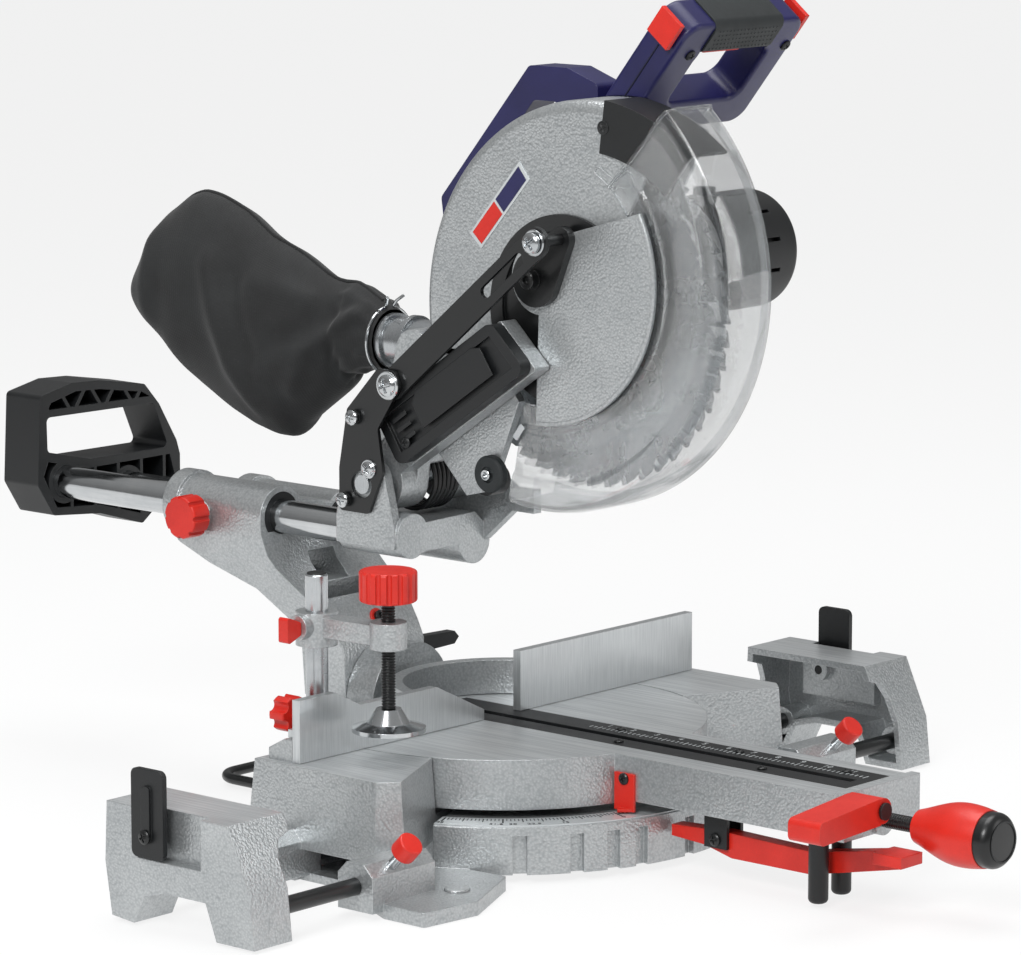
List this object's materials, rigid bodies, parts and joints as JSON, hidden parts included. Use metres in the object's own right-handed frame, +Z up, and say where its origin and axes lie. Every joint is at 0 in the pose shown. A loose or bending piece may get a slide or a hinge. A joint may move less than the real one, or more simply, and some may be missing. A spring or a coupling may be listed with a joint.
{
  "type": "sliding compound mitre saw",
  "caption": "Bench mitre saw whose head pivots, slides on rails, bevels and swings with its table; hold-down clamp, split fence, extension wings and a linked lower guard.",
  "frame": {"origin": "on the bench under the table's mitre pivot, in the plane of the fence's front face", "axes": "+X to the operator's right, +Y to the rear along the cut, +Z up"},
  "size_m": [0.7576, 0.894, 0.6067],
  "materials": {
    "cast_silver": "hammered satin",
    "machined": "brushed",
    "steel": "satin",
    "chrome": "polished",
    "black_steel": "satin black",
    "black_plastic": "fine texture",
    "red_plastic": "satin",
    "navy_plastic": "fine texture",
    "soft_grip": "soft touch",
    "clear_guard": "smoky clear",
    "bag_cloth": "woven cloth",
    "scale_plate": "satin"
  },
  "bodies": {
    "base": {"base_casting": "cast_silver", "mitre_scale_plate": "scale_plate", "stand_bar": "black_steel", "fence_casting": "cast_silver", "right_fence": "machined", "clamp_post": "steel"},
    "sliding_fence": {"left_fence": "machined"},
    "fence_lock": {"fence_knob": "red_plastic"},
    "clamp_arm": {"clamp_arm": "cast_silver"},
    "clamp_lock": {"clamp_thumb_screw": "red_plastic"},
    "clamp_screw": {"clamp_spindle": "black_steel", "clamp_knob": "red_plastic", "clamp_pad": "chrome"},
    "left_wing": {"left_wing": "cast_silver", "left_wing_rods": "black_steel"},
    "left_stop": {"left_stop_plate": "black_plastic"},
    "left_wing_lock": {"left_wing_lock": "red_plastic"},
    "right_wing": {"right_wing": "cast_silver", "right_wing_rods": "black_steel"},
    "right_stop": {"right_stop_plate": "black_plastic"},
    "right_wing_lock": {"right_wing_lock": "red_plastic"},
    "turntable": {"turntable_casting": "cast_silver", "kerf_plate": "black_plastic", "mitre_pointer": "red_plastic", "arm_hardware": "black_plastic"},
    "detent_lever": {"detent_lever": "red_plastic"},
    "mitre_lock": {"lock_rod": "black_steel", "mitre_grip": "red_plastic"},
    "paddle": {"thumb_paddle": "red_plastic"},
    "bevel_arm": {"slide_housing": "cast_silver", "slide_bushes": "black_plastic", "bevel_bolt": "steel"},
    "bevel_lever": {"bevel_lock_lever": "black_plastic"},
    "slide_lock": {"slide_lock_knob": "red_plastic"},
    "carriage": {"slide_rails": "chrome", "carriage": "cast_silver", "pivot_shaft": "steel", "link_bracket": "black_steel", "rear_handle": "black_plastic"},
    "link": {"link_bar": "black_steel"},
    "head": {"head_arm": "cast_silver", "arm_cover": "black_plastic", "upper_guard": "cast_silver", "guard_inner_plate": "black_steel", "chip_deflector": "black_plastic", "motor": "black_plastic", "d_handle": "navy_plastic", "handle_grip": "soft_grip", "carry_handle": "navy_plastic", "stop_roller": "black_plastic", "torsion_spring": "black_steel", "dust_spout": "steel", "dust_bag": "bag_cloth"},
    "trigger": {"trigger": "red_plastic"},
    "lock_off": {"lock_off": "red_plastic"},
    "blade": {"saw_blade": "steel", "arbor": "black_steel"},
    "lower_guard": {"lower_guard": "clear_guard", "guard_side_plate": "cast_silver", "guard_hub": "black_steel"}
  },
  "joints": [
    {"name": "mitre_swing", "type": "hinge", "parent": "base", "child": "turntable", "pos_m": [0, 0, 0.082], "axis": [0, 0, 1], "range_deg": [-45, 45]},
    {"name": "bevel_tilt", "type": "hinge", "parent": "turntable", "child": "bevel_arm", "pos_m": [0, 0.119, 0.082], "axis": [0, 1, 0], "range_deg": [-33.9, 0]},
    {"name": "head_slide", "type": "slide", "parent": "bevel_arm", "child": "carriage", "axis": [0, -1, 0], "range_m": [-0.055, 0.13]},
    {"name": "head_pivot", "type": "hinge", "parent": "carriage", "child": "head", "pos_m": [0, 0.076, 0.253], "axis": [1, 0, 0], "range_deg": [0, 56], "stiffness_Nm_per_rad": 8, "springref_deg": -126.05},
    {"name": "guard_swing", "type": "hinge", "parent": "head", "child": "lower_guard", "pos_m": [0, -0.063, 0.411], "axis": [1, 0, 0], "range_deg": [-118.7, 0]},
    {"name": "link_swing", "type": "hinge", "parent": "carriage", "child": "link", "pos_m": [-0.065, 0.049, 0.328], "axis": [1, 0, 0], "range_deg": [0, 61.7]},
    {"name": "blade_spin", "type": "hinge", "parent": "head", "child": "blade", "pos_m": [0, -0.08, 0.388], "axis": [1, 0, 0], "continuous": true},
    {"name": "trigger_pull", "type": "slide", "parent": "head", "child": "trigger", "axis": [0, -0.6288, 0.7776], "range_m": [0, 0.004], "stiffness_N_per_m": 400, "springref_m": -0.004},
    {"name": "lock_off_push", "type": "slide", "parent": "head", "child": "lock_off", "axis": [1, 0, 0], "range_m": [0, 0.002], "stiffness_N_per_m": 400, "springref_m": -0.002},
    {"name": "fence_slide", "type": "slide", "parent": "base", "child": "sliding_fence", "axis": [-1, 0, 0], "range_m": [0, 0.06]},
    {"name": "fence_knob_turn", "type": "hinge", "parent": "sliding_fence", "child": "fence_lock", "pos_m": [-0.198, 0.02, 0.112], "axis": [0, 1, 0], "range_deg": [-90, 90]},
    {"name": "clamp_swing", "type": "hinge", "parent": "base", "child": "clamp_arm", "pos_m": [-0.171, 0.025, 0.172], "axis": [0, 0, -1], "range_deg": [-20, 20]},
    {"name": "clamp_wing_turn", "type": "hinge", "parent": "clamp_arm", "child": "clamp_lock", "pos_m": [-0.191, 0.025, 0.172], "axis": [1, 0, 0], "range_deg": [-90, 90]},
    {"name": "clamp_screw_travel", "type": "slide", "parent": "clamp_arm", "child": "clamp_screw", "axis": [0, 0, 1], "range_m": [-0.012, 0.012]},
    {"name": "left_wing_slide", "type": "slide", "parent": "base", "child": "left_wing", "axis": [-1, 0, 0], "range_m": [-0.06, 0.015]},
    {"name": "left_stop_fold", "type": "hinge", "parent": "left_wing", "child": "left_stop", "pos_m": [-0.383, -0.022, 0.065], "axis": [1, 0, 0], "range_deg": [0, 120]},
    {"name": "left_wing_lock_turn", "type": "hinge", "parent": "base", "child": "left_wing_lock", "pos_m": [-0.245, -0.102, 0.022], "axis": [0, -0.7071, 0.7071], "range_deg": [-90, 90]},
    {"name": "right_wing_slide", "type": "slide", "parent": "base", "child": "right_wing", "axis": [1, 0, 0], "range_m": [-0.043, 0.032]},
    {"name": "right_stop_fold", "type": "hinge", "parent": "right_wing", "child": "right_stop", "pos_m": [0.366, -0.022, 0.065], "axis": [1, 0, 0], "range_deg": [0, 120]},
    {"name": "right_wing_lock_turn", "type": "hinge", "parent": "base", "child": "right_wing_lock", "pos_m": [0.245, -0.102, 0.022], "axis": [0, -0.7071, 0.7071], "range_deg": [-90, 90]},
    {"name": "detent_press", "type": "hinge", "parent": "turntable", "child": "detent_lever", "pos_m": [-0.02, -0.222, 0.03], "axis": [1, 0, 0], "range_deg": [0, 4], "stiffness_Nm_per_rad": 1, "springref_deg": -5.73},
    {"name": "mitre_lock_turn", "type": "hinge", "parent": "turntable", "child": "mitre_lock", "pos_m": [0, -0.36, 0.059], "axis": [0, 1, 0], "range_deg": [-180, 180]},
    {"name": "paddle_lift", "type": "hinge", "parent": "turntable", "child": "paddle", "pos_m": [-0.035, -0.358, 0.075], "axis": [0, 1, 0], "range_deg": [0, 30]},
    {"name": "bevel_lever_turn", "type": "hinge", "parent": "bevel_arm", "child": "bevel_lever", "pos_m": [0, 0.168, 0.082], "axis": [0, 1, 0], "range_deg": [-20, 0]},
    {"name": "slide_lock_turn", "type": "hinge", "parent": "bevel_arm", "child": "slide_lock", "pos_m": [-0.085, 0.238, 0.213], "axis": [1, 0, 0], "range_deg": [-90, 90]}
  ],
  "couplings": [
    {"joint": "guard_swing", "follows": "head_pivot", "ratio": -2.118},
    {"joint": "link_swing", "follows": "head_pivot", "ratio": 1.1}
  ]
}
